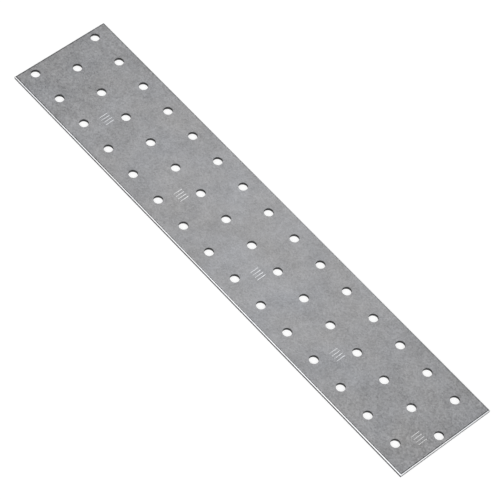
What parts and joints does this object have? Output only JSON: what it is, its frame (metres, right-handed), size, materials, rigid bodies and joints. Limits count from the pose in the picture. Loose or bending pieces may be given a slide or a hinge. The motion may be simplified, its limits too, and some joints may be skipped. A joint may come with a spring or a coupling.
{
  "type": "mending plate",
  "caption": "Flat rectangular plate of galvanised steel with staggered rows of round nail holes, nailed across a joint to hold two timbers together.",
  "frame": {"origin": "centre of the back face, on which the plate lies", "axes": "+X along the plate, towards the end where the middle row of holes comes nearest; +Y across it; +Z out of the front face, the punch side"},
  "size_m": [0.3, 0.06, 0.002],
  "materials": {
    "galvanised_steel": "zinc-coated steel sheet, matt and finely mottled grey, with bare cut edges"
  },
  "bodies": {
    "root": {"plate": "galvanised_steel"}
  },
  "joints": []
}
